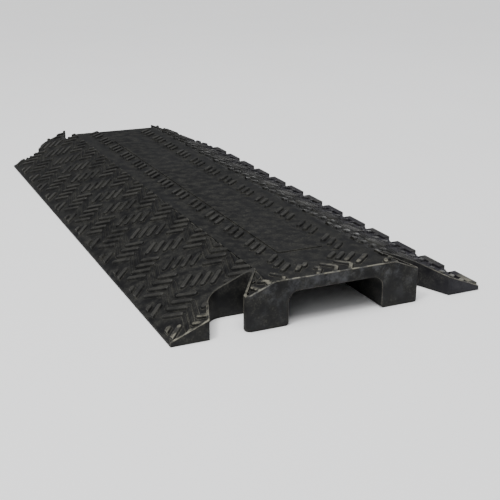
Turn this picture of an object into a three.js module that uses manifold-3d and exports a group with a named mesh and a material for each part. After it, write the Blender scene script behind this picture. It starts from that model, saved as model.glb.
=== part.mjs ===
// Floor cord cover: one moulded rubber piece that bridges a cable run and can be driven over.
// Two ramps rise to a flat deck, and a tunnel open to the floor runs under the deck.
// The near end has a dovetail head between two sockets, and the far end has the two
// tongues that drop into the sockets of the next cover in a row.
// Millimetres. X runs across the cover, Y along it from the near end to the far end, Z up.
// The origin is under the middle of the whole piece, on the floor.

import * as THREE from 'three';
import { mergeVertices } from 'three/addons/utils/BufferGeometryUtils.js';
import Module from 'manifold-3d';

// Body section, over the tops of the tread bars
const WIDTH = 420;
const LAID_LENGTH = 914;
const HEIGHT = 58;
const DECK_WIDTH = 162;
const LIP_HEIGHT = 6;
const LIP_RADIUS = 3;
const CREST_RADIUS = 14;

// Cable tunnel
const TUNNEL_WIDTH = 127;
const TUNNEL_HEIGHT = 42;
const CEILING_RADIUS = 13;
const LEG_EDGE_RADIUS = 2.5;

// Sockets at the near end and the head between them
const SOCKET_DEPTH = 54;
const TOOTH_TIP_WIDTH = 47;
const TOOTH_ROOT_WIDTH = 67;
const SOCKET_CORNER_RADIUS = 22;
const HEAD_MOUTH_WIDTH = 248;
const HEAD_NECK_WIDTH = 168;
const HEAD_NOSE_RADIUS = 7;
const HEAD_NECK_RADIUS = 6;

// Tongues at the far end, smaller than the sockets all round by this clearance
const JOINT_CLEARANCE = 1.5;

// Smooth panel sunk into the deck
const PANEL_WIDTH = 64;
const PANEL_SETBACK = 94;
const PANEL_DEPTH = 1.5;
const PANEL_CORNER_RADIUS = 3;

// How finely the arcs are cut, and how far a cutter runs past the faces that it cuts
const ARC_STEPS = 6;
const OVERRUN = 5;

const halfWidth = WIDTH / 2;
const halfDeck = DECK_WIDTH / 2;
const halfTunnel = TUNNEL_WIDTH / 2;
const tongueReach = SOCKET_DEPTH - JOINT_CLEARANCE;
const overallLength = LAID_LENGTH + tongueReach;
const nearEnd = -overallLength / 2;
const bodyFarEnd = nearEnd + LAID_LENGTH;
const toothSlope = (TOOTH_ROOT_WIDTH - TOOTH_TIP_WIDTH) / SOCKET_DEPTH;
const headSlope = (HEAD_MOUTH_WIDTH - HEAD_NECK_WIDTH) / 2 / SOCKET_DEPTH;

const wasm = await Module();
wasm.setup();

function solidOf(geometry) {
  geometry.deleteAttribute('normal');
  geometry.deleteAttribute('uv');
  const merged = mergeVertices(geometry, 1e-4);
  return new wasm.Manifold(new wasm.Mesh({
    numProp: 3,
    vertProperties: new Float32Array(merged.attributes.position.array),
    triVerts: new Uint32Array(merged.index.array),
  }));
}

function geometryOf(solid) {
  const mesh = solid.getMesh();
  const geometry = new THREE.BufferGeometry();
  geometry.setAttribute('position', new THREE.BufferAttribute(mesh.vertProperties, 3));
  geometry.setIndex(new THREE.BufferAttribute(mesh.triVerts, 1));
  geometry.computeVertexNormals();
  return geometry;
}

// The points of one corner of an outline, [x, y, radius], rounded between its neighbours
function cornerPoints([x, y, radius], before, after) {
  const corner = new THREE.Vector2(x, y);
  if (!radius) return [corner];
  const toBefore = new THREE.Vector2(before[0], before[1]).sub(corner).normalize();
  const toAfter = new THREE.Vector2(after[0], after[1]).sub(corner).normalize();
  const halfAngle = Math.acos(toBefore.dot(toAfter)) / 2;
  const middle = toBefore.clone().add(toAfter).normalize();
  const centre = corner.clone().addScaledVector(middle, radius / Math.sin(halfAngle));
  const tangent = radius / Math.tan(halfAngle);
  const start = corner.clone().addScaledVector(toBefore, tangent).sub(centre);
  const end = corner.clone().addScaledVector(toAfter, tangent).sub(centre);
  const sweep = Math.atan2(start.cross(end), start.dot(end));
  const points = [];
  for (let step = 0; step <= ARC_STEPS; step += 1) {
    const turned = start.clone().rotateAround(new THREE.Vector2(), (sweep * step) / ARC_STEPS);
    points.push(turned.add(centre));
  }
  return points;
}

// A closed outline from its corners, each [x, y, radius]
function roundedOutline(corners) {
  return new THREE.Shape(corners.flatMap((corner, index) => (
    cornerPoints(corner, corners.at(index - 1), corners[(index + 1) % corners.length])
  )));
}

// A section drawn across the cover, X to the right and Z up, run from one Y to another
function alongCover(shape, fromY, toY) {
  const geometry = new THREE.ExtrudeGeometry(shape, { depth: toY - fromY, bevelEnabled: false });
  return solidOf(geometry.rotateX(Math.PI / 2).translate(0, toY, 0));
}

// A plan drawn from above, X to the right and Y away, run from one height to another
function upright(shape, fromZ, toZ) {
  const geometry = new THREE.ExtrudeGeometry(shape, { depth: toZ - fromZ, bevelEnabled: false });
  return solidOf(geometry.translate(0, 0, fromZ));
}

// The outside of the cover: a lip, a ramp, the deck, a ramp and a lip, flat below
function outerSection() {
  return roundedOutline([
    [-halfWidth, 0, 0],
    [halfWidth, 0, 0],
    [halfWidth, LIP_HEIGHT, LIP_RADIUS],
    [halfDeck, HEIGHT, CREST_RADIUS],
    [-halfDeck, HEIGHT, CREST_RADIUS],
    [-halfWidth, LIP_HEIGHT, LIP_RADIUS],
  ]);
}

// The tunnel, with a rounded ceiling and legs whose inner edges are eased at the floor
function tunnelSection() {
  return roundedOutline([
    [-halfTunnel - LEG_EDGE_RADIUS, -OVERRUN, 0],
    [halfTunnel + LEG_EDGE_RADIUS, -OVERRUN, 0],
    [halfTunnel + LEG_EDGE_RADIUS, 0, 0],
    [halfTunnel, LEG_EDGE_RADIUS, 0],
    [halfTunnel, TUNNEL_HEIGHT, CEILING_RADIUS],
    [-halfTunnel, TUNNEL_HEIGHT, CEILING_RADIUS],
    [-halfTunnel, LEG_EDGE_RADIUS, 0],
    [-halfTunnel - LEG_EDGE_RADIUS, 0, 0],
  ]);
}

// Half the head's width at a distance in from the end face, and that of the sockets' outer walls
function headHalfAt(y) {
  return HEAD_MOUTH_WIDTH / 2 - headSlope * y;
}

function outerWallAt(y) {
  return halfWidth - TOOTH_TIP_WIDTH - toothSlope * y;
}

// Plan of the socket on one side (side is 1 on the right), from the end face at endY and
// pulled in all round by inset. Its outer wall follows the tooth, its inner wall the head.
function socketPlan(side, inset, endY) {
  const back = SOCKET_DEPTH - inset;
  const outerAt = (y) => side * (outerWallAt(y) - inset * Math.hypot(1, toothSlope));
  const innerAt = (y) => side * (headHalfAt(y) + inset * Math.hypot(1, headSlope));
  return roundedOutline([
    [outerAt(-OVERRUN), endY - OVERRUN, 0],
    [outerAt(back), endY + back, SOCKET_CORNER_RADIUS - inset],
    [innerAt(back), endY + back, HEAD_NECK_RADIUS],
    [innerAt(-OVERRUN), endY - OVERRUN, 0],
  ]);
}

// What the rounded nose takes off the head's sharp corner beside a socket
function noseTrim(side) {
  const neck = [headHalfAt(SOCKET_DEPTH), SOCKET_DEPTH];
  const nose = cornerPoints([headHalfAt(0), 0, HEAD_NOSE_RADIUS], [0, 0], neck);
  const past = headHalfAt(0) + OVERRUN;
  const trim = [
    ...nose,
    new THREE.Vector2(past, nose.at(-1).y),
    new THREE.Vector2(past, -OVERRUN),
    new THREE.Vector2(nose[0].x, -OVERRUN),
  ];
  return new THREE.Shape(trim.map((point) => new THREE.Vector2(side * point.x, nearEnd + point.y)));
}

// The smooth panel, sunk below the tread and as far from the near end as from the body's far end
function panelPlan() {
  const half = PANEL_WIDTH / 2;
  return roundedOutline([
    [-half, nearEnd + PANEL_SETBACK, PANEL_CORNER_RADIUS],
    [half, nearEnd + PANEL_SETBACK, PANEL_CORNER_RADIUS],
    [half, bodyFarEnd - PANEL_SETBACK, PANEL_CORNER_RADIUS],
    [-half, bodyFarEnd - PANEL_SETBACK, PANEL_CORNER_RADIUS],
  ]);
}

function cordCoverSolid() {
  let body = alongCover(outerSection(), nearEnd, bodyFarEnd);
  const tongueBlank = alongCover(outerSection(), bodyFarEnd - OVERRUN, bodyFarEnd + SOCKET_DEPTH);
  for (const side of [-1, 1]) {
    const socket = upright(socketPlan(side, 0, nearEnd), -OVERRUN, HEIGHT + OVERRUN);
    const nose = upright(noseTrim(side), -OVERRUN, HEIGHT + OVERRUN);
    const tonguePlan = socketPlan(side, JOINT_CLEARANCE, bodyFarEnd);
    const tongue = upright(tonguePlan, -OVERRUN, HEIGHT + OVERRUN).intersect(tongueBlank);
    body = body.subtract(socket).subtract(nose).add(tongue);
  }
  const tunnel = alongCover(tunnelSection(), nearEnd - OVERRUN, bodyFarEnd + SOCKET_DEPTH + OVERRUN);
  const panel = upright(panelPlan(), HEIGHT - PANEL_DEPTH, HEIGHT + OVERRUN);
  return body.subtract(tunnel).subtract(panel);
}

const blackRubber = new THREE.MeshStandardMaterial({ color: 0x2b2b2b, roughness: 0.7, metalness: 0 });

const cordCover = new THREE.Mesh(geometryOf(cordCoverSolid()), blackRubber);
cordCover.name = 'cord_cover';

const part = new THREE.Group();
part.add(cordCover);

export default part;
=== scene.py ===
# %% [markdown]
# # A floor cord cover, modelled by hand
# This is a drop-over cord cover: one moulding of black rubber, 420 mm wide, that bridges the
# cables lying on a floor. Two ramps rise to a flat deck over a tunnel. The near end has two
# sockets with a dovetail head between them, and the far end has the tongues that fill the
# sockets of the next cover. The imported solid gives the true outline. This lesson models the
# moulding again with its tread, its rims and its rounded edges, and gives it its rubber.

# %% Load the frame that everything is built around
import math

import bmesh
import bpy
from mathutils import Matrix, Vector


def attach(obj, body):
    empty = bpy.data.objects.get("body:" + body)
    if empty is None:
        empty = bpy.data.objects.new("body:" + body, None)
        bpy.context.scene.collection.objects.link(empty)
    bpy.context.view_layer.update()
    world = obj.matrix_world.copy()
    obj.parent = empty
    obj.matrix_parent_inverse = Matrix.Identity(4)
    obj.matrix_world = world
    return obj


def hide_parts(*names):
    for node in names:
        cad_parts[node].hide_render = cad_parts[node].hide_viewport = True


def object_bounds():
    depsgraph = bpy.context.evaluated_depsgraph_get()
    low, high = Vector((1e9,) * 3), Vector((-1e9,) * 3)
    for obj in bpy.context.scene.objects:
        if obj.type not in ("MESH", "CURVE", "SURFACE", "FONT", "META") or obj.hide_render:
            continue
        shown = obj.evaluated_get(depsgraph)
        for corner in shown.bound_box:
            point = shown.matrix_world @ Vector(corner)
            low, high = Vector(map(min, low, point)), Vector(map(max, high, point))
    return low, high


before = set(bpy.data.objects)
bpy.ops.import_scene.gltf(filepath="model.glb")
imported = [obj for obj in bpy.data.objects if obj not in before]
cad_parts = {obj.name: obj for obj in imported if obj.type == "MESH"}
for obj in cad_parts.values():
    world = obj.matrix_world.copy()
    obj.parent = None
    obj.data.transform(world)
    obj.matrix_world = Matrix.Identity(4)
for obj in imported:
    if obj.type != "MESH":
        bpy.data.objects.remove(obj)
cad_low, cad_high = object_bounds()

MM = 0.001
print("solid from", [round(v, 4) for v in cad_low], "to", [round(v, 4) for v in cad_high])

# %% [markdown]
# ## The camera
# The photographer stands off the near left corner and looks along the cover, a little down
# on it. Every piece is judged from this view first, so the camera comes before the pieces.
# Its place is given from the near end of the cover, and its lens for a 36 mm sensor.

# %% Camera
NEAR_END = cad_low.y
CAMERA_LEFT = 506.9
CAMERA_BACK = 864.8
CAMERA_HEIGHT = 430.7
LOOKING_DOWN = 19.15
TURNED_RIGHT = 24.47
LENS = 65.15

camera_data = bpy.data.cameras.new("camera")
camera_data.sensor_width = 36
camera_data.lens = LENS
camera = bpy.data.objects.new("camera", camera_data)
bpy.context.scene.collection.objects.link(camera)
camera.location = (-CAMERA_LEFT * MM, NEAR_END - CAMERA_BACK * MM, CAMERA_HEIGHT * MM)
camera.rotation_euler = (math.radians(90 - LOOKING_DOWN), 0, math.radians(-TURNED_RIGHT))
bpy.context.scene.camera = camera
print("camera at", [round(v, 3) for v in camera.location])

# %% [markdown]
# ## Driving sizes
# The solid is drawn at the height of the tread bars' tops. The ground that the bars stand on
# lies 3.5 mm lower, so the moulding starts as a body that is lower by that much, and the rims
# and bars rise from it to the solid's own surface.

# %% Sizes, in millimetres, as on the solid
WIDTH = 420
LAID_LENGTH = 914
HEIGHT = 58
DECK_WIDTH = 162
LIP_HEIGHT = 6
CREST_RADIUS = 14
TUNNEL_WIDTH = 127
TUNNEL_HEIGHT = 42
CEILING_RADIUS = 13
LEG_EDGE = 2.5
SOCKET_DEPTH = 54
TOOTH_TIP_WIDTH = 47
TOOTH_ROOT_WIDTH = 67
SOCKET_CORNER_RADIUS = 22
HEAD_MOUTH_WIDTH = 248
HEAD_NECK_WIDTH = 168
HEAD_NOSE_RADIUS = 7
HEAD_NECK_RADIUS = 6
JOINT_CLEARANCE = 1.5
TREAD_RISE = 3.5
OVERRUN = 5

near_end = NEAR_END / MM
body_far_end = near_end + LAID_LENGTH
far_tip = cad_high.y / MM
half_width = WIDTH / 2
half_deck = DECK_WIDTH / 2
ramp_slope = (HEIGHT - LIP_HEIGHT) / (half_width - half_deck)
ramp_angle = math.atan(ramp_slope)
print("ramps climb at", round(math.degrees(ramp_angle), 2), "degrees")

# %% [markdown]
# ## Working by hand, in code
# In the window one picks an edge with the mouse and presses a key. Here a small function
# picks what lies at a given place, and the same operators do the rest. Everything is
# deselected first, because an operator acts on all that is selected.

# %% Picking and placing


def only(piece):
    """Makes piece the only selected object."""
    bpy.ops.object.select_all(action="DESELECT")
    piece.select_set(True)
    bpy.context.view_layer.objects.active = piece


def pick(piece, kind, wanted):
    """Opens piece in edit mode with only the faces, edges or vertices whose middle is wanted."""
    if bpy.context.mode != "EDIT_MESH":
        only(piece)
        bpy.ops.object.mode_set(mode="EDIT")
    bpy.ops.mesh.select_mode(type=kind)
    bpy.ops.mesh.select_all(action="DESELECT")
    mesh = bmesh.from_edit_mesh(piece.data)
    parts = {"VERT": mesh.verts, "EDGE": mesh.edges, "FACE": mesh.faces}[kind]
    for part in parts:
        if kind == "VERT":
            middle = part.co / MM
            ends = [middle]
        else:
            ends = [v.co / MM for v in part.verts]
            middle = sum(ends, Vector()) / len(ends)
        if wanted(middle, ends):
            part.select_set(True)
    bmesh.update_edit_mesh(piece.data)


def done():
    bpy.ops.object.mode_set(mode="OBJECT")


def near(a, b):
    """Whether two places agree to a fiftieth of a millimetre."""
    return abs(a - b) < 0.02


def block(name, x, y, z):
    """A cube primitive that fills the given ranges, in millimetres."""
    size = [(b - a) * MM for a, b in (x, y, z)]
    middle = [(a + b) / 2 * MM for a, b in (x, y, z)]
    bpy.ops.object.select_all(action="DESELECT")
    bpy.ops.mesh.primitive_cube_add(size=1, location=middle, scale=size)
    piece = bpy.context.active_object
    piece.name = name
    piece.data.name = name
    bpy.ops.object.transform_apply(location=True, rotation=True, scale=True)
    return piece


def apply_modifier(piece, kind, **settings):
    only(piece)
    modifier = piece.modifiers.new(kind.lower(), kind)
    for key, value in settings.items():
        setattr(modifier, key, value)
    bpy.ops.object.modifier_apply(modifier=modifier.name)


def boolean(piece, tool, operation):
    """Joins or cuts piece with tool, and removes the tool."""
    apply_modifier(piece, "BOOLEAN", object=tool, operation=operation, solver="MANIFOLD")
    bpy.data.objects.remove(tool)
    print(operation.lower(), piece.name, "now has", len(piece.data.polygons), "faces")


def joined(name, pieces):
    """Joins the pieces into one object, the first of them."""
    bpy.ops.object.select_all(action="DESELECT")
    for piece in pieces:
        piece.select_set(True)
    bpy.context.view_layer.objects.active = pieces[0]
    bpy.ops.object.join()
    pieces[0].name = name
    return pieces[0]


def copy_of(model, x=0, y=0, z=0, turn=0):
    """A copy of model with its own mesh, turned about its origin and moved."""
    copy = model.copy()
    copy.data = model.data.copy()
    bpy.context.scene.collection.objects.link(copy)
    copy.location = (x * MM, y * MM, z * MM)
    copy.rotation_euler = (0, 0, turn)
    return copy


def place_now(piece):
    """Moves the object's place into its mesh."""
    only(piece)
    bpy.ops.object.transform_apply(location=True, rotation=True, scale=True)


def slide(dx=0, dy=0, dz=0):
    bpy.ops.transform.translate(value=(dx * MM, dy * MM, dz * MM))


def bevel(width, segments):
    bpy.ops.mesh.bevel(offset=width * MM, segments=segments, profile=0.5, affect="EDGES",
                       offset_type="OFFSET", clamp_overlap=False)


# %% [markdown]
# ## The body
# The whole cross-section is one straight run, so it starts as a block. Two cuts along the
# deck's edges let the outer top edges be pulled down into ramps, and a bevel rounds the
# crests. A bevel is given by how far back from the edge it starts, and a round of radius r
# on a turn of angle t starts r tan(t/2) back.

# %% A run of the cross-section


def ramped_run(name, y, drop, lip_radius):
    """The outer section from one Y to another, with its top lower by drop."""
    top = HEIGHT - drop
    lip = LIP_HEIGHT - drop
    run = block(name, (-half_width, half_width), y, (0, top))
    for side in (-1, 1):
        pick(run, "FACE", lambda middle, ends: True)
        bpy.ops.mesh.bisect(plane_co=(side * half_deck * MM, 0, 0), plane_no=(1, 0, 0))
        edge_x = side * half_width
        pick(run, "EDGE", lambda middle, ends: near(middle.x, edge_x) and near(middle.z, top))
        slide(dz=lip - top)
    pick(run, "EDGE", lambda middle, ends: near(abs(middle.x), half_deck) and near(middle.z, top))
    bevel(CREST_RADIUS * math.tan(ramp_angle / 2), segments=5)
    pick(run, "EDGE", lambda middle, ends: near(abs(middle.x), half_width) and near(middle.z, lip))
    bevel(lip_radius * math.tan((math.pi / 2 - ramp_angle) / 2), segments=4)
    done()
    return run


BASE_LIP_RADIUS = 1.8
body = ramped_run("moulded_cover", (near_end, far_tip), TREAD_RISE, BASE_LIP_RADIUS)
print("body run", len(body.data.polygons), "faces")

# %% [markdown]
# ## Sockets, tongues and their rims
# A socket is a dovetail pocket that goes right through: wide at the back, narrow at the mouth.
# Its tool is a block whose four upright edges are slid to the corners of the plan and then
# bevelled. The same tool, grown a little and cut to the solid's surface, gives the raised rim
# that runs round the socket, and shrunk by the clearance it gives the far end's tongue.

# %% The dovetail tool
tooth_slope = (TOOTH_ROOT_WIDTH - TOOTH_TIP_WIDTH) / SOCKET_DEPTH
head_slope = (HEAD_MOUTH_WIDTH - HEAD_NECK_WIDTH) / 2 / SOCKET_DEPTH


def outer_wall(y):
    """From the middle to a socket's outer wall, at y in from the end face."""
    return half_width - TOOTH_TIP_WIDTH - tooth_slope * y


def inner_wall(y):
    """From the middle to a socket's inner wall, the side of the head, at y in."""
    return HEAD_MOUTH_WIDTH / 2 - head_slope * y


def round_upright(piece, x, y, radius, turn):
    """Rounds the upright edge at x, y, where the outline turns by that angle."""
    pick(piece, "EDGE", lambda middle, ends: near(middle.x, x) and near(middle.y, y)
         and near(ends[0].x, ends[1].x) and near(ends[0].y, ends[1].y))
    bevel(radius * math.tan(turn / 2), segments=7)


def dovetail(name, side, inset, end_y, mouth=-OVERRUN):
    """An upright dovetail from end_y, pulled in all round by inset (or grown, if negative)."""
    back = SOCKET_DEPTH - inset
    outer = [side * (outer_wall(y) - inset * math.hypot(1, tooth_slope)) for y in (mouth, back)]
    inner = [side * (inner_wall(y) + inset * math.hypot(1, head_slope)) for y in (mouth, back)]
    x_range = (min(inner[0], outer[0]), max(inner[0], outer[0]))
    tool = block(name, x_range, (end_y + mouth, end_y + back), (-OVERRUN, HEIGHT + OVERRUN))
    for old, new in ((outer[0], outer[1]), (inner[0], inner[1])):
        pick(tool, "EDGE", lambda middle, ends: near(middle.x, old)
             and near(middle.y, end_y + back) and near(middle.z, HEIGHT / 2))
        slide(dx=new - old)
    outer_turn = math.pi / 2 - math.atan(tooth_slope)
    inner_turn = math.pi / 2 + math.atan(head_slope)
    round_upright(tool, outer[1], end_y + back, SOCKET_CORNER_RADIUS - inset, outer_turn)
    round_upright(tool, inner[1], end_y + back, HEAD_NECK_RADIUS, inner_turn)
    done()
    return tool


def nose_trim(name, side, grow=0):
    """What the rounded nose takes off the head's sharp corner beside a socket."""
    centre_y = HEAD_NOSE_RADIUS
    centre_x = inner_wall(centre_y) - HEAD_NOSE_RADIUS * math.hypot(1, head_slope)
    reach_y = centre_y + HEAD_NOSE_RADIUS * math.sin(math.atan(head_slope))
    x_range = sorted((side * centre_x, side * (HEAD_MOUTH_WIDTH / 2 + OVERRUN)))
    trim = block(name, x_range, (near_end - OVERRUN, near_end + reach_y), (-OVERRUN, HEIGHT + OVERRUN))
    bpy.ops.object.select_all(action="DESELECT")
    bpy.ops.mesh.primitive_cylinder_add(
        vertices=48, radius=(HEAD_NOSE_RADIUS - grow) * MM, depth=3 * HEIGHT * MM,
        location=(side * centre_x * MM, (near_end + centre_y) * MM, 0))
    boolean(trim, bpy.context.active_object, "DIFFERENCE")
    return trim


# %% Rims round the near end
RIM_WIDTH = 3.2
RIM_LIP_RADIUS = 1.5
# The grown sockets start this far in from the near end, so just outside it.
RIM_MOUTH = -2
# How far the rims' outer form runs on past the sockets' backs
CROWN_SPARE = 20

near_rims = block("near_rims", (-half_width - OVERRUN, half_width + OVERRUN),
                  (near_end - OVERRUN, near_end + RIM_WIDTH), (-OVERRUN, HEIGHT + OVERRUN))
for side in (-1, 1):
    boolean(near_rims, dovetail("socket_rim", side, -RIM_WIDTH, near_end, mouth=RIM_MOUTH), "UNION")
    boolean(near_rims, nose_trim("nose_rim", side, RIM_WIDTH), "UNION")
crown_y = (near_end, near_end + SOCKET_DEPTH + CROWN_SPARE)
crown_run = ramped_run("crown_run", crown_y, 0, RIM_LIP_RADIUS)
boolean(crown_run, near_rims, "INTERSECT")
boolean(body, crown_run, "UNION")

# %% [markdown]
# ## Cutting the ends and the tunnel
# The rims now stand at the near end, and the sockets are cut through them, so that each rim
# ends flush with its socket's wall. At the far end a block takes away all but the tongues. The
# tunnel's tool is a block too: a bisect near the floor lets its foot be spread, which eases the
# legs' inner edges, and a bevel rounds its ceiling. Each tool runs past the faces it cuts.

# %% Cut the sockets
for side in (-1, 1):
    boolean(body, dovetail("socket", side, 0, near_end), "DIFFERENCE")
    boolean(body, nose_trim("nose", side), "DIFFERENCE")

# %% Cut the far end down to its tongues
far_void = block("far_void", (-half_width - OVERRUN, half_width + OVERRUN),
                 (body_far_end, far_tip + OVERRUN), (-OVERRUN * 2, HEIGHT + OVERRUN * 2))
for side in (-1, 1):
    boolean(far_void, dovetail("tongue", side, JOINT_CLEARANCE, body_far_end), "DIFFERENCE")
far_void_model = copy_of(far_void)
boolean(body, far_void, "DIFFERENCE")

# %% Cut the tunnel
half_tunnel = TUNNEL_WIDTH / 2
tunnel = block("tunnel", (-half_tunnel, half_tunnel), (near_end - OVERRUN, far_tip + OVERRUN),
               (0, TUNNEL_HEIGHT))
pick(tunnel, "FACE", lambda middle, ends: True)
bpy.ops.mesh.bisect(plane_co=(0, 0, LEG_EDGE * MM), plane_no=(0, 0, 1))
for side in (-1, 1):
    pick(tunnel, "EDGE", lambda middle, ends: near(middle.x, side * half_tunnel)
         and near(middle.z, 0))
    slide(dx=side * LEG_EDGE)
pick(tunnel, "FACE", lambda middle, ends: near(middle.z, 0))
bpy.ops.mesh.extrude_region_move(TRANSFORM_OT_translate={"value": (0, 0, -OVERRUN * MM)})
pick(tunnel, "EDGE", lambda middle, ends: near(abs(middle.x), half_tunnel)
     and near(middle.z, TUNNEL_HEIGHT))
bevel(CEILING_RADIUS, segments=8)
done()
boolean(body, tunnel, "DIFFERENCE")

# %% [markdown]
# ## The panel on the deck
# A smooth panel, raised a little over the ground, fills the middle of the deck. It is a block
# sunk into the deck, with its four upright corners bevelled.

# %% Panel on the deck
PANEL_WIDTH = 64
PANEL_SETBACK = 94
PANEL_DEPTH = 1.5
PANEL_SINK = 2
PANEL_CORNER_RADIUS = 3

ground = HEIGHT - TREAD_RISE
panel_x = (-PANEL_WIDTH / 2, PANEL_WIDTH / 2)
panel_y = (near_end + PANEL_SETBACK, body_far_end - PANEL_SETBACK)
panel = block("panel", panel_x, panel_y, (ground - PANEL_SINK, HEIGHT - PANEL_DEPTH))
pick(panel, "EDGE", lambda middle, ends: near(ends[0].x, ends[1].x) and near(ends[0].y, ends[1].y))
bevel(PANEL_CORNER_RADIUS, segments=5)
done()
boolean(body, panel, "UNION")

# %% [markdown]
# ## The rims along the right lip
# Along the right lip runs a low rim, with a gap at each turn of the tread. Each length of it
# rises steeply at its near end and runs out gently at its far end. One is modelled, as a block
# whose far top edge is slid back, and an Array modifier repeats it. The lengths are kept aside,
# and join the tread once the body's edges are round.

# %% Rims along the right lip
TREAD_PERIOD = 68.5
GAP_WIDTH = 11
GAP_FIRST = 67
# The rim's range in X, and the heights of its top and of its foot inside the lip
LIP_RIM = (199.5, 209.2)
LIP_RIM_TOP = 9.9
RIM_FOOT = 1
RIM_RUNOUT = 12
RIM_EASING = 0.8


def repeat(piece, count):
    """Repeats piece along the cover, once for each turn of the tread."""
    apply_modifier(piece, "ARRAY", count=count, use_relative_offset=False, use_constant_offset=True,
                   constant_offset_displace=(0, TREAD_PERIOD * MM, 0))


rim_far = near_end + GAP_FIRST - GAP_WIDTH / 2
rim_near = rim_far - TREAD_PERIOD + GAP_WIDTH
lip_rims = block("lip_rims", LIP_RIM, (rim_near, rim_far), (RIM_FOOT, LIP_RIM_TOP))
pick(lip_rims, "EDGE", lambda middle, ends: near(middle.y, rim_far) and near(middle.z, LIP_RIM_TOP))
slide(dy=-RIM_RUNOUT)
pick(lip_rims, "EDGE", lambda middle, ends: min(end.z for end in ends) > LIP_HEIGHT / 2)
bevel(RIM_EASING, segments=2)
done()
rim_count = int((LAID_LENGTH - GAP_FIRST) / TREAD_PERIOD) + 1
repeat(lip_rims, rim_count)
print(rim_count, "lengths of rim along the right lip")

# %% [markdown]
# ## Rounding the edges
# One Bevel modifier rounds every sharp edge a little, as the mould does. It comes before the
# tread, while the body still has few and simple edges. The cuts have left flat faces in strips,
# so a limited dissolve first makes each of them one face again.

# %% Round the edges
EDGE_EASING = 0.9
HAIR = 0.001

pick(body, "FACE", lambda middle, ends: True)
bpy.ops.mesh.dissolve_limited(angle_limit=math.radians(0.5))
done()
apply_modifier(body, "BEVEL", width=EDGE_EASING * MM, segments=2, limit_method="ANGLE",
               angle_limit=math.radians(35), use_clamp_overlap=False)

# Where a rim meets the lip, the bevel throws a few points past the side. They go back onto it.
for side in (-1, 1):
    pick(body, "VERT", lambda middle, ends: side * middle.x > half_width + HAIR)
    bpy.ops.transform.resize(value=(0, 1, 1), center_override=(side * half_width * MM, 0, 0))
done()
print("rounded body has", len(body.data.polygons), "faces")

# %% [markdown]
# ## One tread bar and one low ridge
# The tread is short bars at 45 degrees, four to a group, that lean one way in one column and
# the other way in the next. A bar starts as a block: its upright edges are bevelled into round
# ends, its sides lean in a little so that the moulding leaves its mould, and they flare at the
# foot. A lower, thinner ridge runs from each backward bar to the next group, so that the
# backward columns read as nested zigzags. Each is modelled once and then copied.

# %% Model a bar
BAR_LENGTH = 27
BAR_WIDTH = 5.4
BAR_DRAFT = 0.7
BAR_FLARE = 0.7
FLARE_HEIGHT = 0.8
BAR_SINK = 1.0
BAR_ROUND = 0.8
# How much of half the width a bar's end takes to round, just short of all of it
END_ROUND = 0.97
# Tops that meet differ by this much, so that no two of them lie in one plane.
TOP_STEP = 0.15
bar_rise = TREAD_RISE * math.cos(ramp_angle) - TOP_STEP


def scale_about_axis(factor_x, factor_y):
    bpy.ops.transform.resize(value=(factor_x, factor_y, 1), center_override=(0, 0, 0))


def tread_bar(name, length, width, rise, end_segments=3):
    """A bar along X with its foot on the ground at the origin, sunk a little into it."""
    foot_x = length / 2 + BAR_DRAFT
    foot_y = width / 2 + BAR_DRAFT
    bar = block(name, (-foot_x, foot_x), (-foot_y, foot_y), (-BAR_SINK, rise))
    pick(bar, "EDGE", lambda middle, ends: near(ends[0].x, ends[1].x) and near(ends[0].y, ends[1].y))
    bevel(foot_y * END_ROUND, end_segments)
    pick(bar, "FACE", lambda middle, ends: True)
    bpy.ops.mesh.bisect(plane_co=(0, 0, FLARE_HEIGHT * MM), plane_no=(0, 0, 1))
    pick(bar, "FACE", lambda middle, ends: near(middle.z, rise))
    scale_about_axis(1 - BAR_DRAFT / foot_x, 1 - BAR_DRAFT / foot_y)
    pick(bar, "FACE", lambda middle, ends: near(middle.z, -BAR_SINK))
    scale_about_axis(1 + BAR_FLARE / foot_x, 1 + BAR_FLARE / foot_y)
    pick(bar, "EDGE", lambda middle, ends: near(ends[0].z, rise) and near(ends[1].z, rise))
    bevel(BAR_ROUND, segments=2)
    done()
    return bar


bar_model = tread_bar("bar_model", BAR_LENGTH, BAR_WIDTH, bar_rise)
print("a bar has", len(bar_model.data.polygons), "faces")

# %% Model a low ridge
LEAN = math.radians(45)
BAR_PITCH = 13.2
RIDGE_WIDTH = 3.2
RIDGE_RISE = 1.9

# How far a leaning bar reaches along X and Y from its middle, and from one bar to the next
half_bar_plan = BAR_LENGTH / 2 * math.cos(LEAN)
step = BAR_PITCH * math.cos(LEAN)
steps = [step * k for k in (-1.5, -0.5, 0.5, 1.5)]
ridge_dx = 2 * half_bar_plan - step
ridge_dy = TREAD_PERIOD - 2 * half_bar_plan - step
ridge_length = math.hypot(ridge_dx, ridge_dy)
ridge_model = tread_bar("ridge_model", ridge_length, RIDGE_WIDTH, RIDGE_RISE, end_segments=2)
print("a ridge is", round(ridge_length, 1), "mm long and has", len(ridge_model.data.polygons), "faces")


# %% [markdown]
# ## Groups and columns
# A group is laid out flat, then an Array modifier repeats it along the cover, and the whole
# column is tipped onto its ramp. Seen from above the tread keeps its spacing, so a column is
# first stretched across by as much as the slope will shorten it. Its ends are cut off straight
# along the lip and the crest, as the tread of the real cover is.

# %% Groups of bars and ridges


def group(name, pieces):
    """Joins copies into one object whose place is in its mesh."""
    whole = joined(name, pieces)
    place_now(whole)
    return whole


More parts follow.
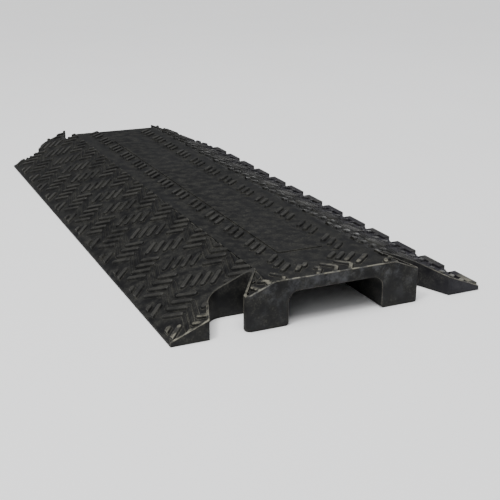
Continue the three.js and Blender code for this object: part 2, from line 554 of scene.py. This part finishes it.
forward_group = group("forward_group", [copy_of(bar_model, s, -s, turn=LEAN) for s in steps])
backward_group = group("backward_group", [copy_of(bar_model, s, s, turn=-LEAN) for s in steps])
ridge_lean = math.atan2(ridge_dy, ridge_dx)
ridge_x = half_bar_plan - ridge_dx / 2
ridge_y = -half_bar_plan - ridge_dy / 2
ridges = [copy_of(ridge_model, s + ridge_x, s + ridge_y, turn=ridge_lean) for s in steps[:3]]
ridge_group = group("ridge_group", ridges)
print("a group has", len(forward_group.data.polygons), "faces")

# %% [markdown]
# ## Where the tread stands
# The ramp tread keeps clear of the crests, the lips, the sockets and the head's two noses. A
# block over each ramp, less the grown sockets, the noses and the far end's void, gives that
# area, and each set of columns is cut to it. The area reaches a little into the rims, so that
# bars and rims run together.

# %% The area of the ramp tread
FORWARD_FIRST = 30.8
BACKWARD_FIRST = 69
TREAD_OUTER = 205
TREAD_INNER = 84.5
RIM_OVERLAP = 0.6
PLAIN_NOSE = 27

area_y = (near_end + RIM_WIDTH - RIM_OVERLAP, far_tip + OVERRUN)
area_z = (-OVERRUN, HEIGHT + OVERRUN)
tread_area = block("tread_area", (-TREAD_OUTER, -TREAD_INNER), area_y, area_z)
right_area = block("right_area", (TREAD_INNER, LIP_RIM[0] + RIM_OVERLAP), area_y, area_z)
boolean(tread_area, right_area, "UNION")
for side in (-1, 1):
    grown = RIM_OVERLAP - RIM_WIDTH
    boolean(tread_area, dovetail("socket_keep", side, grown, near_end, mouth=RIM_MOUTH), "DIFFERENCE")
    boolean(tread_area, nose_trim("nose_keep", side, -grown), "DIFFERENCE")
    nose_x = sorted((side * TREAD_INNER, side * HEAD_MOUTH_WIDTH / 2))
    nose_y = (near_end - OVERRUN, near_end + PLAIN_NOSE)
    plain_nose = block("plain_nose", nose_x, nose_y, (-OVERRUN * 2, HEIGHT + OVERRUN * 2))
    boolean(tread_area, plain_nose, "DIFFERENCE")
boolean(tread_area, far_void_model, "DIFFERENCE")

# %% Heights on the ramps


def ground_z(x):
    """Height of the ground between bars at x; past the lip the ramp is taken to run on."""
    return HEIGHT - ramp_slope * max(0, abs(x) - half_deck) - TREAD_RISE


print("the ground falls from", ground_z(0), "to", round(ground_z(half_width), 2), "mm")

# %% Columns of the ramp tread
FORWARD_COLUMNS = (-211.5, -133.1, 102, 180.4)
BACKWARD_COLUMNS = (-172.3, -93.9, 141.2, 219.6)
# A turn more at each end, which the area of the tread then cuts off
column_turns = int((far_tip - near_end) / TREAD_PERIOD) + 3


def column(model, x, first):
    """The model repeated along Y, tipped onto the ramp at x. first is from the near end."""
    piece = copy_of(model)
    repeat(piece, column_turns)
    piece.scale.x = 1 / math.cos(ramp_angle)
    piece.rotation_euler.y = math.copysign(ramp_angle, x)
    piece.location = (x * MM, (near_end + first - TREAD_PERIOD) * MM, ground_z(x) * MM)
    place_now(piece)
    return piece


def tread_columns(name, model, places, first):
    """Columns of one model at several x, cut to the area of the tread."""
    columns = joined(name, [column(model, x, first) for x in places])
    boolean(columns, copy_of(tread_area), "INTERSECT")
    return columns


tread = tread_columns("tread", forward_group, FORWARD_COLUMNS, FORWARD_FIRST)
boolean(tread, tread_columns("backward_bars", backward_group, BACKWARD_COLUMNS, BACKWARD_FIRST), "UNION")
boolean(tread, tread_columns("low_ridges", ridge_group, BACKWARD_COLUMNS, BACKWARD_FIRST), "UNION")

# %% [markdown]
# ## The tread on the deck
# A row of bars runs along each side of the panel, three to a turn of the tread. Near the end
# face the rows give way to single bars and to bent ridges, which feet and wheels have rubbed
# pale; their pale tops are partly a painted highlight. The rows are copies of one bar. For the
# rest, a function lays a bar between two places, level on the deck or tipped on a ramp. The arms
# of a bent ridge step down by a hair.

# %% Rows of bars
DECK_STEP = 17.5
# X, how far the first group is from the near end, and how many groups are left out there
DECK_ROWS = ((-48, 59.5, 0), (51, 36.5, 1))

deck_rise = TREAD_RISE - TOP_STEP
deck_bar = tread_bar("deck_bar", BAR_LENGTH, BAR_WIDTH, deck_rise)
deck_parts = []
for x, first, skipped in DECK_ROWS:
    middle_y = near_end + first + skipped * TREAD_PERIOD
    ys = (middle_y - DECK_STEP, middle_y, middle_y + DECK_STEP)
    row = group("deck_row", [copy_of(deck_bar, x, y, ground, LEAN) for y in ys])
    turns = int((LAID_LENGTH - first) / TREAD_PERIOD) + 1 - skipped
    repeat(row, turns)
    deck_parts.append(row)
    print("row at", x, "has", turns, "groups")

# %% A bar between two places


def bar_between(start, end, name, width=BAR_WIDTH, rise=deck_rise):
    """A bar on the deck or a ramp between two places: x, and the distance from the near end."""
    dx = end[0] - start[0]
    dy = end[1] - start[1]
    x = (start[0] + end[0]) / 2
    y = near_end + (start[1] + end[1]) / 2
    bar = tread_bar(name, math.hypot(dx, dy), width, rise)
    bar.rotation_euler.z = math.atan2(dy, dx)
    place_now(bar)
    if abs(x) > half_deck:
        bar.scale.x = 1 / math.cos(ramp_angle)
        bar.rotation_euler.y = math.copysign(ramp_angle, x)
    bar.location = (x * MM, y * MM, ground_z(x) * MM)
    place_now(bar)
    return bar


# %% Single bars at the near end
NEAR_BARS = (
    ((-41, 25), (-28, 42)),
    ((-27, 35), (-18, 46)),
    ((15.5, 50), (32, 65)),
    ((23, 42), (42, 60.5)),
    ((29, 32), (54, 55)),
    ((39, 20), (65, 43)),
)
for start, end in NEAR_BARS:
    deck_parts.append(bar_between(start, end, "near_bar"))
boolean(tread, joined("deck_tread", deck_parts), "UNION")

# %% Bent ridges at the near end
NEAR_RIDGE_WIDTH = 4.6
NEAR_RIDGES = (
    ((-5, 35), (10, 20), (-2, 2)),
    ((15, 37), (31, 21), (18, 2)),
    ((-17, 27), (-11, 22), (-25, 2)),
    ((-102, 19), (-98.6, 3)),
    ((-92.5, 23.6), (-85, 14), (-86, 3)),
    ((-74, 30), (-62, 17), (-70, 3)),
    ((72, 7), (76, 16), (85, 19), (91, 11)),
)
for places in NEAR_RIDGES:
    for turn, (start, end) in enumerate(zip(places, places[1:])):
        rise = TREAD_RISE - TOP_STEP * (2 + turn)
        boolean(tread, bar_between(start, end, "near_ridge", NEAR_RIDGE_WIDTH, rise), "UNION")

# %% [markdown]
# ## One moulding
# The bars are joined to one another first, and the whole tread then joins the body in one
# union. That leaves one closed surface, as a moulding has. Joining the sets of bars to the body
# one by one is slower, and can stall when the ramp is already full of their outlines. The
# shading is then smoothed over the small rounds, and breaks at true edges.

# %% Join the tread to the body
boolean(tread, lip_rims, "UNION")
boolean(body, tread, "UNION")
models = (bar_model, ridge_model, deck_bar, forward_group, backward_group, ridge_group, tread_area)
for model in models:
    bpy.data.objects.remove(model)
only(body)
bpy.ops.object.shade_smooth_by_angle(angle=math.radians(40))
print("cover has", len(body.data.polygons), "faces")

# %% [markdown]
# ## The rubber
# The cover is moulded black rubber: a dark grey that is never quite even, half matt, with a
# fine grain from the mould. Feet and wheels rub its bar tops and edges lighter, and the tops
# also carry a painted highlight where they catch the light. Dust settles low in the tread,
# the outer part of the right ramp carries a painted violet reflection of the sky, and the near
# end face carries pale smears. One noise for all of it would look like camouflage, so it is
# built as a stack. Masks say where something happens, each layer lays one colour through a
# product of masks, and the roughness uses the same masks, so that what looks rubbed also
# shines a little.

# %% Colour and node helpers


def linear(hex_colour):
    """The linear colour of an sRGB hex string such as "#2a2b2d"."""
    channels = [int(hex_colour[i:i + 2], 16) / 255 for i in (1, 3, 5)]
    return [c / 12.92 if c <= 0.04045 else ((c + 0.055) / 1.055) ** 2.4 for c in channels] + [1]


def new_material(name):
    material = bpy.data.materials.new(name)
    material.use_nodes = True
    material.node_tree.nodes.clear()
    return material


def add_node(material, kind, inputs, **settings):
    """Adds a node, and gives its outputs.

    inputs holds a value or a link for each socket, by its name, or by its number where a
    node has several sockets of one name. settings are the node's own properties.
    """
    tree = material.node_tree
    made = tree.nodes.new(kind)
    for setting, value in settings.items():
        setattr(made, setting, value)
    for socket, value in inputs.items():
        if isinstance(value, bpy.types.NodeSocket):
            tree.links.new(value, made.inputs[socket])
        else:
            made.inputs[socket].default_value = value
    return made.outputs


# %% [markdown]
# ## Masks from noise
# Patches of dirt and wear, and of the painted highlight on the tops, have no pattern, so they
# come from noise, each with the size of its blotches in millimetres. A smooth map then sets how
# sharply a patch begins and how strong it can be. Object coordinates keep every patch fixed to
# the rubber.

# %% Noise masks
rubber = new_material("moulded black rubber")
place = add_node(rubber, "ShaderNodeTexCoord", {})["Object"]
# Name, size in mm, detail, roughness, where it begins and is full, and its range
NOISE_MASKS = (
    ("cloud", 120, 3, 0.55, 0.35, 0.65, 0, 1),
    ("blotch", 14, 5, 0.55, 0.38, 0.66, 0, 1),
    ("speck", 2.2, 2, 0.55, 0.45, 0.72, 0, 1),
    # Patches where the tops are rubbed smoother and lighter; the lighter colour is partly a painted
    # highlight
    ("rubbed_and_sheen_patch", 45, 4, 0.55, 0.38, 0.62, 0.25, 1),
    # Patches of scuffs and of painted highlight on the tops near the end face
    ("scuff_and_highlight_patch", 9, 5, 0.55, 0.42, 0.6, 0, 1),
    ("edge_patch", 30, 4, 0.55, 0.36, 0.62, 0.15, 1),
    ("smear", 20, 6, 0.7, 0.45, 0.68, 0, 0.55),
    ("shine", 26, 2, 0.55, 0.5, 0.68, 0, 1),
)
masks = {}
for name, size_mm, detail, roughness, begins, full, least, most in NOISE_MASKS:
    noise = add_node(rubber, "ShaderNodeTexNoise", {
        "Vector": place, "Scale": 1000 / size_mm, "Detail": detail, "Roughness": roughness})
    mapping = {0: noise["Fac"], 1: begins, 2: full, 3: least, 4: most}
    masks[name] = add_node(rubber, "ShaderNodeMapRange", mapping, interpolation_type="SMOOTHSTEP")[0]
print(len(masks), "noise masks")

# %% [markdown]
# ## Masks from the shape
# The tops of the bars and rims are found by how far the surface stands above the ground
# between bars, with the ramps' fall added back. Ambient occlusion tells how much sky a point
# sees, and dust lies where it is little. An edge is where the surface, taken as if rounded by
# 1.6 mm, faces another way. Distances from the near end tell the rubbed end from the rest.

# %% What the shape gives
SKY_REACH = 8
EDGE_RADIUS = 1.6

along = add_node(rubber, "ShaderNodeSeparateXYZ", {"Vector": place})
across = add_node(rubber, "ShaderNodeMath", {0: along["X"]}, operation="ABSOLUTE")[0]
past_deck = add_node(rubber, "ShaderNodeMath", {0: across, 1: half_deck * MM}, operation="SUBTRACT")[0]
past_deck = add_node(rubber, "ShaderNodeMath", {0: past_deck, 1: 0.0}, operation="MAXIMUM")[0]
raised = {0: past_deck, 1: ramp_slope, 2: along["Z"]}
level = add_node(rubber, "ShaderNodeMath", raised, operation="MULTIPLY_ADD")[0]

sky = add_node(rubber, "ShaderNodeAmbientOcclusion", {"Distance": SKY_REACH * MM}, samples=8)["AO"]
masks["sky"] = sky
rounded = add_node(rubber, "ShaderNodeBevel", {"Radius": EDGE_RADIUS * MM}, samples=6)["Normal"]
facing = add_node(rubber, "ShaderNodeNewGeometry", {})["Normal"]
agreement = add_node(rubber, "ShaderNodeVectorMath", {0: rounded, 1: facing}, operation="DOT_PRODUCT")
print("bar tops lie", TREAD_RISE, "mm over the ground")

# %% Shape masks
# Name, source, where it begins and is full, and its range
shape_masks = (
    # A painted violet reflection of the sky, growing towards the right lip
    ("painted_sky_reflection", along["X"], 120 * MM, 205 * MM, 0, 0.55),
    ("tops", level, (ground + 2.2) * MM, (ground + 3.3) * MM, 0, 1),
    ("front_band", along["Y"], (near_end + 50) * MM, (near_end + 2) * MM, 0, 1),
    ("towards_near_end", along["Y"], (near_end + 80) * MM, (near_end + 6) * MM, 0.35, 1),
    ("end_face", along["Y"], (near_end + 3) * MM, (near_end + 1) * MM, 0, 1),
    ("high", along["Z"], 12 * MM, 56 * MM, 0.25, 1),
    ("sheltered", sky, 0.85, 0.35, 0, 1),
    ("dusty_patch", masks["blotch"], 0, 1, 0.3, 0.8),
    ("open", sky, 0.5, 0.85, 0, 1),
    ("edge", agreement["Value"], 0.985, 0.86, 0, 1),
)
for name, source, begins, full, least, most in shape_masks:
    mapping = {0: source, 1: begins, 2: full, 3: least, 4: most}
    masks[name] = add_node(rubber, "ShaderNodeMapRange", mapping, interpolation_type="SMOOTHSTEP")[0]
print(len(shape_masks), "shape masks")

# %% [markdown]
# ## Layers of colour
# The base is near black, clouded by a second tone. Over it lie grey blotches and specks, a
# painted violet reflection of the sky on the outer part of the right ramp, the tops, lighter
# from rubbing and scuffs and from a painted highlight, dust, worn edges, and the smears on the
# near end face. Each layer is a colour, and the masks and numbers whose product says how
# strongly it covers what is below.

# %% Layers, and how strong each is
LAYERS = (
    ("#131314", ("cloud",)),
    ("#252523", ("blotch", 0.7)),
    ("#3d3c37", ("speck", "blotch", 0.7)),
    # Painted violet reflection of the sky over the outer part of the right ramp
    ("#292730", ("painted_sky_reflection",)),
    # Lighter tops: partly rubbed wear, partly a painted highlight where the tops catch the light
    ("#393835", ("tops", "rubbed_and_sheen_patch", 0.7)),
    # Much lighter tops near the end face: partly scuffs, partly a painted highlight
    ("#7b786c", ("tops", "front_band", "scuff_and_highlight_patch", 0.85)),
    ("#35342f", ("sheltered", "dusty_patch", 0.45)),
    ("#827f73", ("edge", "edge_patch", "open", "towards_near_end")),
    ("#4e4f52", ("smear", "high", "end_face")),
)
# The roughness goes down or up by these, after the colour.
ROUGHNESS_CHANGES = (
    ("SUBTRACT", ("shine", "sky", 0.06)),
    ("SUBTRACT", ("tops", "rubbed_and_sheen_patch", 0.28)),
    ("ADD", ("sheltered", "dusty_patch", 0.2)),
)
strengths = {}
for use, factors in LAYERS + ROUGHNESS_CHANGES:
    strength = masks[factors[0]]
    for factor in factors[1:]:
        pair = {0: strength, 1: masks.get(factor, factor)}
        strength = add_node(rubber, "ShaderNodeMath", pair, operation="MULTIPLY")[0]
    strengths[use, factors] = strength

# %% Colour
BASE_COLOUR = "#0b0b0c"
colour = linear(BASE_COLOUR)
for layer_colour, factors in LAYERS:
    # Sockets 6 and 7 of a Mix node are its two colours, and output 2 is the mixed colour.
    layer = {0: strengths[layer_colour, factors], 6: colour, 7: linear(layer_colour)}
    colour = add_node(rubber, "ShaderNodeMix", layer, data_type="RGBA")[2]
print(len(LAYERS), "layers of colour")

# %% [markdown]
# ## Sheen and grain
# Moulded rubber is half matt, at a roughness of 0.6 to 0.74 from blotch to blotch. Some patches
# and the rubbed tops are smoother, and dust is rougher. The mould's grain is drawn at 0.9 mm,
# several times coarser than a real mould's, because finer grain would not show. Broad, shallow
# dents go with it, so that the flat faces aren't perfectly flat.

# %% Roughness
base = {0: masks["blotch"], 1: 0, 2: 1, 3: 0.6, 4: 0.74}
roughness = add_node(rubber, "ShaderNodeMapRange", base, interpolation_type="SMOOTHSTEP")[0]
for operation, factors in ROUGHNESS_CHANGES:
    change = {0: roughness, 1: strengths[operation, factors]}
    roughness = add_node(rubber, "ShaderNodeMath", change, operation=operation, use_clamp=True)[0]
print(len(ROUGHNESS_CHANGES), "changes of roughness")

# %% Grain and dents
# Size in mm, strength, and depth in mm
GRAIN = (0.9, 0.6, 0.2)
DENTS = (18, 0.3, 0.6)
normal = facing
for size_mm, strength, depth in (GRAIN, DENTS):
    height = add_node(rubber, "ShaderNodeTexNoise", {
        "Vector": place, "Scale": 1000 / size_mm, "Detail": 3, "Roughness": 0.55})["Fac"]
    normal = add_node(rubber, "ShaderNodeBump", {
        "Strength": strength, "Distance": depth * MM, "Height": height, "Normal": normal})["Normal"]

# %% Shader
# 1.52 is rubber's usual IOR. At the usual specular level, 0.5, the flat deck came out paler
# than the real one, so the level is low.
shader = add_node(rubber, "ShaderNodeBsdfPrincipled", {
    "Base Color": colour, "Roughness": roughness, "IOR": 1.52, "Specular IOR Level": 0.18,
    "Normal": normal})["BSDF"]
add_node(rubber, "ShaderNodeOutputMaterial", {"Surface": shader})
body.data.materials.clear()
body.data.materials.append(rubber)
print("rubber has", len(rubber.node_tree.nodes), "nodes")

# %% [markdown]
# ## The floor
# The cover stands on a wide floor of matt white paint, which carries a soft shadow and nothing
# else. A backdrop could curve up behind it, but a plane this wide fills the view by itself.
# Paint is never one even white, so a coarse noise mixes two whites that are nearly the same.

# %% Floor and its paint
FLOOR_WIDTH = 30
PAINT_PATCH = 400

bpy.ops.object.select_all(action="DESELECT")
bpy.ops.mesh.primitive_plane_add(size=FLOOR_WIDTH, location=(0, 0, 0))
floor = bpy.context.active_object
floor.name = "floor"
paint = new_material("matt white floor paint")
floor_place = add_node(paint, "ShaderNodeTexCoord", {})["Object"]
patches = add_node(paint, "ShaderNodeTexNoise", {
    "Vector": floor_place, "Scale": 1000 / PAINT_PATCH, "Detail": 3, "Roughness": 0.55})["Fac"]
whites = {0: patches, 6: linear("#f7f7f7"), 7: linear("#fcfcfc")}
white = add_node(paint, "ShaderNodeMix", whites, data_type="RGBA")[2]
paint_shader = add_node(paint, "ShaderNodeBsdfPrincipled", {
    "Base Color": white, "Roughness": 0.9, "IOR": 1.45})["BSDF"]
add_node(paint, "ShaderNodeOutputMaterial", {"Surface": paint_shader})
floor.data.materials.append(paint)
print("floor is", FLOOR_WIDTH, "m wide")

# %% [markdown]
# ## Light
# Most of the light falls from above, as from a white ceiling: a sun lamp with a very wide
# disc, so that it is soft and as bright far off as near by. A faint pale world fills the
# shadows. A panel in front opens the end face, a weak one behind draws the tops, and a small
# one at the front left gives the rubbed bars their glints.

# %% World
WORLD_COLOUR = (0.93, 0.96, 1, 1)
WORLD_STRENGTH = 0.22

world = bpy.data.worlds.new("studio")
world.use_nodes = True
background = world.node_tree.nodes["Background"]
background.inputs["Color"].default_value = WORLD_COLOUR
background.inputs["Strength"].default_value = WORLD_STRENGTH
bpy.context.scene.world = world
print("world at", WORLD_STRENGTH)

# %% Lights
CEILING_STRENGTH = 3.3
CEILING_DISC = 50
CEILING_LEAN = 8


def add_light(name, kind, power):
    data = bpy.data.lights.new(name, kind)
    data.energy = power
    light = bpy.data.objects.new(name, data)
    bpy.context.scene.collection.objects.link(light)
    return light


# Name, place and target in metres, width in metres, and watts
PANELS = (
    ("back_panel", (0.9, 1.1, 2.0), (0, 0, 0), 1.0, 4),
    ("front_panel", (-1.6, -2.2, 1.8), (0, -0.3, 0), 1.5, 16),
    ("glint_panel", (-1.1, -0.9, 2.0), (0, -0.2, 0), 0.4, 18),
)
for name, panel_place, target, width, watts in PANELS:
    light = add_light(name, "AREA", watts)
    light.data.size = width
    light.location = panel_place
    towards = Vector(target) - Vector(panel_place)
    light.rotation_euler = towards.to_track_quat("-Z", "Y").to_euler()
ceiling = add_light("ceiling", "SUN", CEILING_STRENGTH)
ceiling.data.angle = math.radians(CEILING_DISC)
ceiling.rotation_euler = (math.radians(CEILING_LEAN), math.radians(-CEILING_LEAN), 0)
print("lights:", len(PANELS) + 1)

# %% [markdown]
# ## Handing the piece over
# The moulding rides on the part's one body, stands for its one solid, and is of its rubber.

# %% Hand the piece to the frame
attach(body, "root")
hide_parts("cord_cover")
